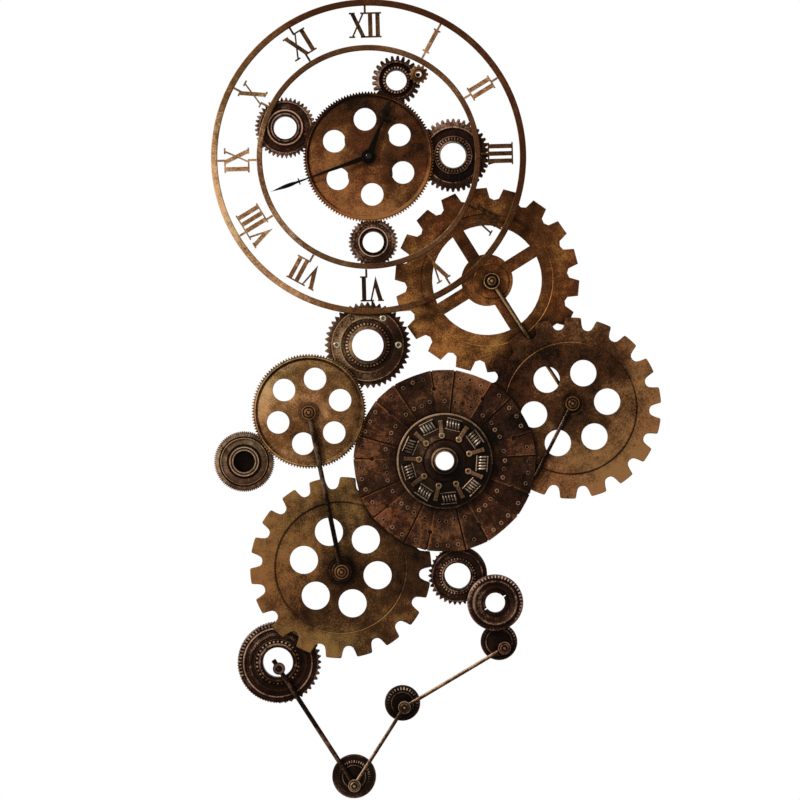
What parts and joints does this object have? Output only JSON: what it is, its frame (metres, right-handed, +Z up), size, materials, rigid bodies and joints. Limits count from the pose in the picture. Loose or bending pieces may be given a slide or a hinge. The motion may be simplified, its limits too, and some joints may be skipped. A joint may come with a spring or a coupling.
{
  "type": "gear wall clock",
  "caption": "Skeleton wall clock of overlapping machine gears, a riveted sprung disc and link rods, with an open Roman dial, black hands and a quartz movement.",
  "frame": {"origin": "on the back of the upper hanger plate, where it rests on the wall", "axes": "+Z up, the dial faces -Y, +Y into the wall, +X to the right seen from the front"},
  "size_m": [0.5631, 0.0437, 1.0003],
  "materials": {
    "bronze_plate": "steel plate with a worn bronze patina",
    "dark_steel": "oil-blackened gear steel with rubbed edges",
    "tan_steel": "sheet steel with a tan bronze wash",
    "disc_steel": "pressed steel with a brown rust lacquer",
    "bolt_bronze": "rubbed bronze",
    "copper_rod": "copper-washed rod",
    "hand_black": "satin black",
    "case_black": "moulded black",
    "brass": "turned brass",
    "cell_wrap": "plain dark sleeve",
    "knob_white": "moulded ivory"
  },
  "bodies": {
    "frame": {"centre_gear": "bronze_plate", "spoke_gear": "bronze_plate", "right_gear": "bronze_plate", "lower_left_gear": "bronze_plate", "left_gear": "bronze_plate", "left_dial_gear": "dark_steel", "right_dial_gear": "dark_steel", "bottom_dial_gear": "dark_steel", "top_gear": "dark_steel", "flange_gear": "dark_steel", "idler_wheel": "dark_steel", "dog_gear": "dark_steel", "keyed_wheel": "dark_steel", "corner_gear": "dark_steel", "low_wheel": "dark_steel", "mid_wheel": "dark_steel", "end_wheel": "dark_steel", "left_rod": "dark_steel", "corner_rod": "dark_steel", "disc_rod": "dark_steel", "dial_hanger": "dark_steel", "right_hanger": "dark_steel", "outer_ring": "tan_steel", "inner_ring": "tan_steel", "numeral_01": "tan_steel", "numeral_02": "tan_steel", "numeral_03": "tan_steel", "numeral_04": "tan_steel", "numeral_05": "tan_steel", "numeral_06": "tan_steel", "numeral_07": "tan_steel", "numeral_08": "tan_steel", "numeral_09": "tan_steel", "numeral_10": "tan_steel", "numeral_11": "tan_steel", "numeral_12": "tan_steel", "facing_disc": "disc_steel", "disc_hub": "disc_steel", "lower_spacer": "bolt_bronze", "left_bolt": "bolt_bronze", "lower_bolt": "bolt_bronze", "spoke_bolt": "bolt_bronze", "right_bolt": "bolt_bronze", "low_bolt": "bolt_bronze", "mid_bolt": "bolt_bronze", "end_bolt": "bolt_bronze", "back_rod": "copper_rod", "low_rod": "copper_rod", "end_rod": "copper_rod", "movement_case": "case_black", "movement_cover": "case_black", "top_pinion": "brass", "shaft_nut": "brass", "battery_cell": "cell_wrap"},
    "minute": {"minute_hand": "hand_black", "minute_arbor": "brass", "hand_nut": "brass"},
    "hour": {"hour_hand": "hand_black", "hour_wheel": "brass"},
    "setting": {"setting_knob": "knob_white"}
  },
  "joints": [
    {"name": "minute_turn", "type": "hinge", "parent": "frame", "child": "minute", "pos_m": [0.04268, -0.028, -0.05984], "axis": [0, 1, 0], "continuous": true},
    {"name": "hour_turn", "type": "hinge", "parent": "frame", "child": "hour", "pos_m": [0.04268, -0.028, -0.05984], "axis": [0, 1, 0], "continuous": true},
    {"name": "setting_turn", "type": "hinge", "parent": "frame", "child": "setting", "pos_m": [0.04172, -0.014, -0.04988], "axis": [0, 1, 0], "continuous": true}
  ],
  "couplings": [
    {"joint": "hour_turn", "follows": "minute_turn", "ratio": 0.083333},
    {"joint": "setting_turn", "follows": "minute_turn", "ratio": -0.33333}
  ]
}
